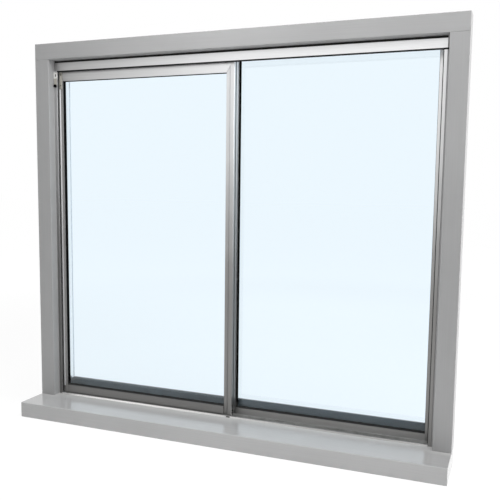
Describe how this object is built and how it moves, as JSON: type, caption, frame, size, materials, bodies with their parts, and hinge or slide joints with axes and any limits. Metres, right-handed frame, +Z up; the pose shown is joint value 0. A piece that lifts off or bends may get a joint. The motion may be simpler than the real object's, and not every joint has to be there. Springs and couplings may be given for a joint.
{
  "type": "horizontal sliding window",
  "caption": "Horizontal sliding window: aluminium frame in a painted timber surround with a deep sill, a sash that slides on the front track and a fixed lite behind it.",
  "frame": {"origin": "middle of the underside of the sill board", "axes": "+X to the right seen from the sash side, +Y into the wall, +Z up"},
  "size_m": [1.5, 0.242, 1.344],
  "materials": {
    "surround_paint": "grey satin paint",
    "frame_aluminium": "satin anodised",
    "sash_aluminium": "satin anodised",
    "fixed_aluminium": "satin anodised",
    "track_metal": "worn by the glides",
    "slate_metal": "dark slate coating",
    "glass": "pale blue tint",
    "black_rubber": "matte",
    "black_pile": "brush pile",
    "nylon": "natural nylon",
    "stop_plate": "light grey"
  },
  "bodies": {
    "window": {"surround_head": "surround_paint", "surround_left_jamb": "surround_paint", "surround_right_jamb": "surround_paint", "surround_sill": "surround_paint", "surround_right_fillet": "surround_paint", "frame_head": "frame_aluminium", "frame_head_lip": "frame_aluminium", "frame_head_rear_lip": "frame_aluminium", "head_guide_fin": "frame_aluminium", "frame_sill": "frame_aluminium", "frame_sill_nose": "frame_aluminium", "frame_left_jamb": "frame_aluminium", "frame_left_lip": "frame_aluminium", "frame_left_rear_lip": "frame_aluminium", "frame_right_jamb": "frame_aluminium", "frame_right_lip": "frame_aluminium", "frame_right_rear_lip": "frame_aluminium", "sill_track_rail": "track_metal", "rear_weather_bar": "slate_metal", "head_seal_strip": "black_rubber", "head_brush_strip": "black_pile", "left_jamb_strip": "black_pile", "right_jamb_strip": "black_rubber", "corner_stop": "stop_plate", "corner_stop_buffer": "black_rubber", "fixed_top_rail": "fixed_aluminium", "fixed_bottom_rail": "fixed_aluminium", "fixed_jamb_stile": "fixed_aluminium", "fixed_meeting_stile": "fixed_aluminium", "fixed_glass": "glass", "fixed_front_gasket": "black_rubber", "fixed_rear_gasket": "black_rubber"},
    "sash": {"sash_top_rail": "sash_aluminium", "sash_bottom_rail": "sash_aluminium", "sash_lock_stile": "sash_aluminium", "sash_corner_plate": "stop_plate", "sash_meeting_stile": "sash_aluminium", "sash_pile_strip": "black_pile", "sash_glass": "glass", "sash_front_gasket": "black_rubber", "sash_rear_gasket": "black_rubber", "sash_left_glide": "nylon", "sash_right_glide": "nylon"}
  },
  "joints": [
    {"name": "sash_slide", "type": "slide", "parent": "window", "child": "sash", "axis": [1, 0, 0], "range_m": [0, 0.64]}
  ]
}
